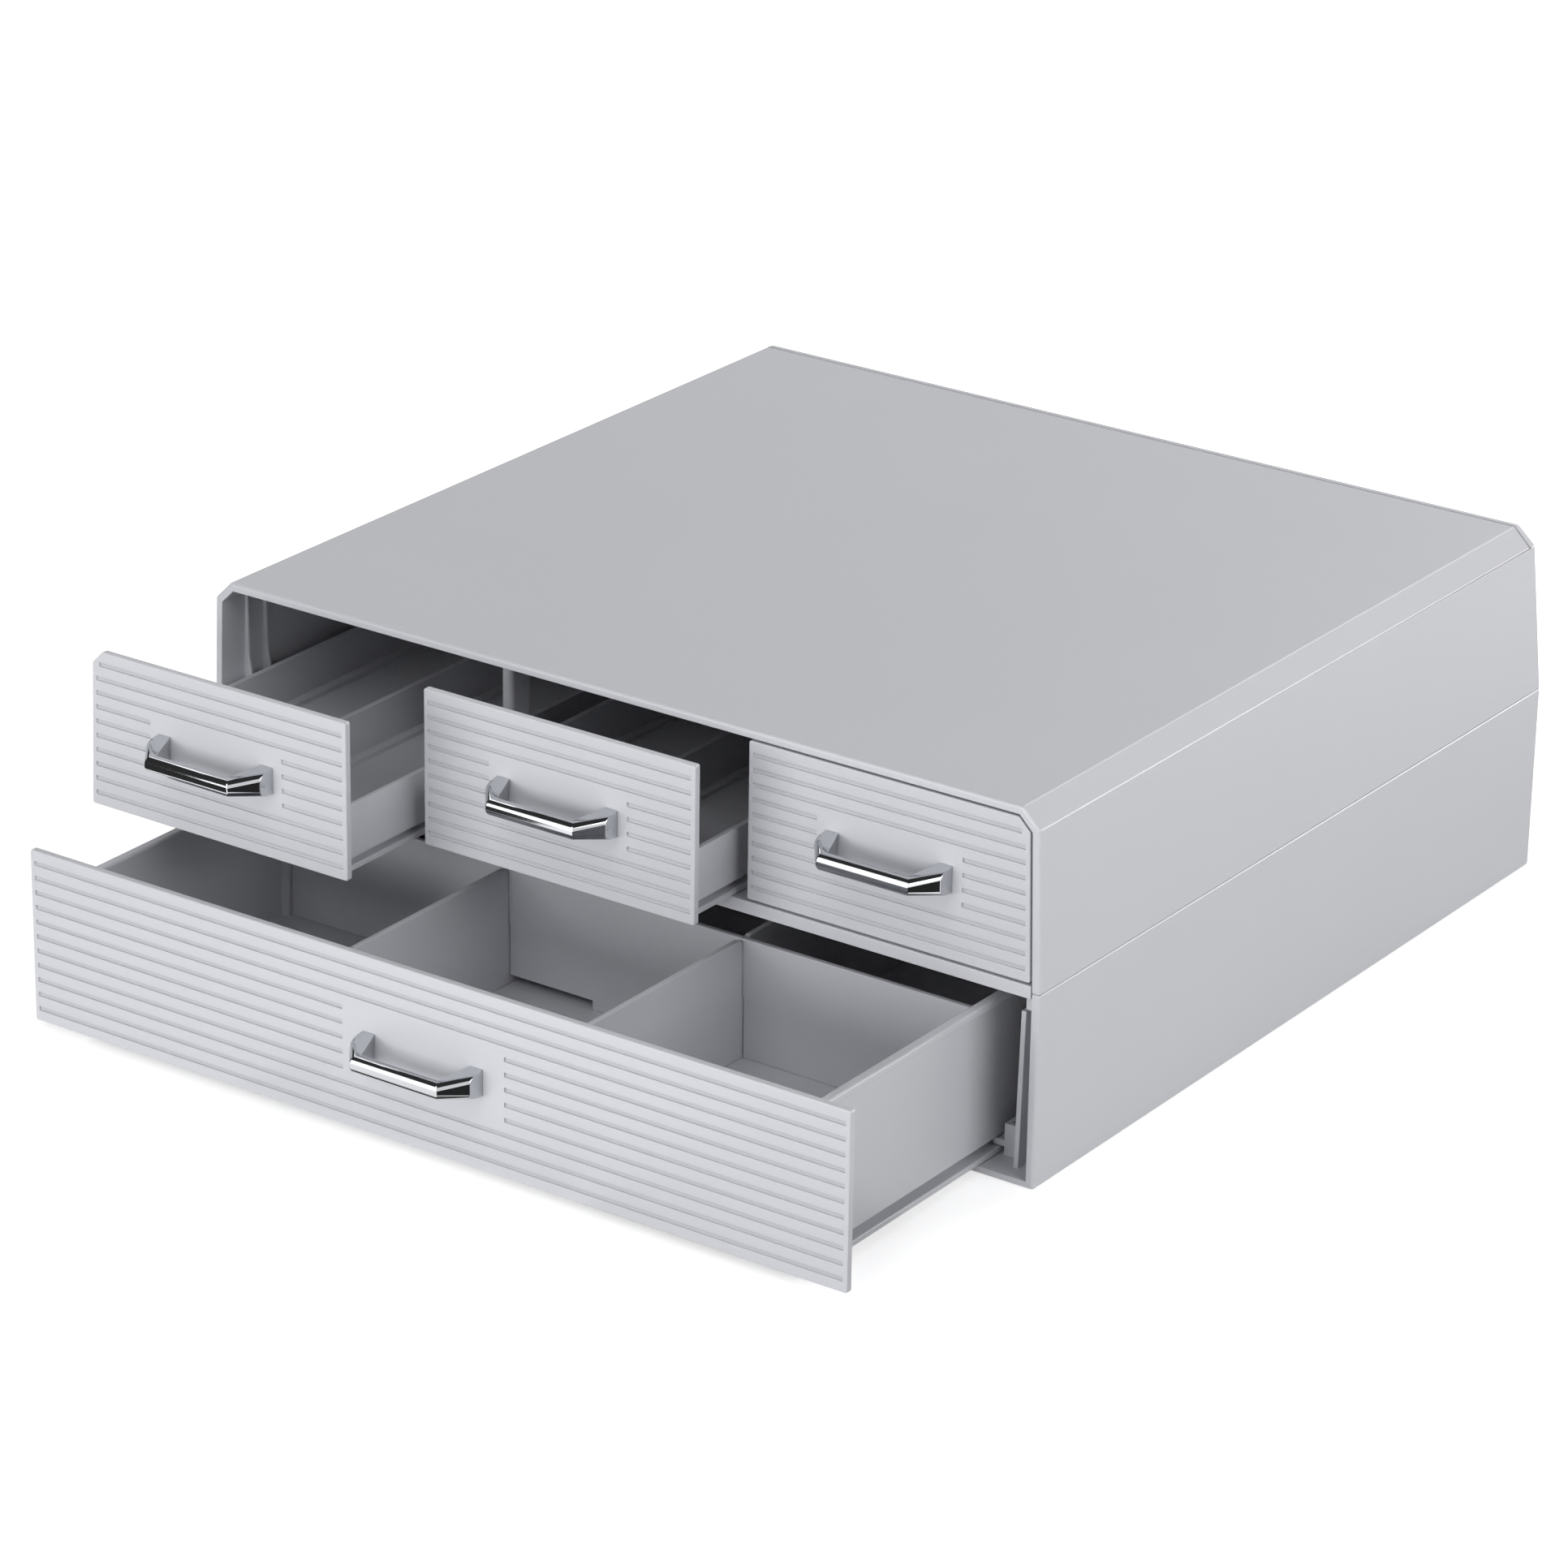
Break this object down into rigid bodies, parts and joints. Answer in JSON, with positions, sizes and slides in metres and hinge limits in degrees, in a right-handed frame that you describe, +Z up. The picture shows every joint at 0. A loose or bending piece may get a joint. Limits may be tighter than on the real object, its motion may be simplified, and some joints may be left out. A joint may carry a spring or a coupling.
{
  "type": "coffee capsule drawer",
  "caption": "Low plastic cabinet with small capsule drawers above a wide divided drawer, ribbed fronts and bar handles; a coffee machine stands on its flat top.",
  "frame": {"origin": "middle of the cabinet's footprint, on the table", "axes": "+X to the user's right, +Y to the back of the cabinet, +Z up; drawers pull out along -Y"},
  "size_m": [0.33, 0.4318, 0.128],
  "materials": {
    "casing_plastic": "fine moulded texture, light cool grey",
    "front_plastic": "smooth satin moulding, light cool grey",
    "tray_plastic": "smooth satin moulding, light cool grey",
    "handle_chrome": "bright chrome plating",
    "screw_steel": "zinc-plated steel"
  },
  "bodies": {
    "cabinet": {"upper_casing": "casing_plastic", "lower_casing": "casing_plastic", "shelf": "casing_plastic"},
    "left_drawer": {"left_front": "front_plastic", "left_tray": "tray_plastic", "left_handle": "handle_chrome", "left_handle_screws": "screw_steel"},
    "middle_drawer": {"middle_front": "front_plastic", "middle_tray": "tray_plastic", "middle_handle": "handle_chrome", "middle_handle_screws": "screw_steel"},
    "right_drawer": {"right_front": "front_plastic", "right_tray": "tray_plastic", "right_handle": "handle_chrome", "right_handle_screws": "screw_steel"},
    "lower_drawer": {"lower_front": "front_plastic", "lower_tray": "tray_plastic", "lower_handle": "handle_chrome", "lower_handle_screws": "screw_steel", "front_cross_divider": "tray_plastic", "rear_cross_divider": "tray_plastic", "left_divider": "tray_plastic", "right_divider": "tray_plastic"}
  },
  "joints": [
    {"name": "left_drawer_slide", "type": "slide", "parent": "cabinet", "child": "left_drawer", "axis": [0, -1, 0], "range_m": [-0.066, 0.16178]},
    {"name": "middle_drawer_slide", "type": "slide", "parent": "cabinet", "child": "middle_drawer", "axis": [0, -1, 0], "range_m": [-0.0274, 0.20038]},
    {"name": "right_drawer_slide", "type": "slide", "parent": "cabinet", "child": "right_drawer", "axis": [0, -1, 0], "range_m": [0, 0.22778]},
    {"name": "lower_drawer_slide", "type": "slide", "parent": "cabinet", "child": "lower_drawer", "axis": [0, -1, 0], "range_m": [-0.0968, 0.1543]}
  ]
}
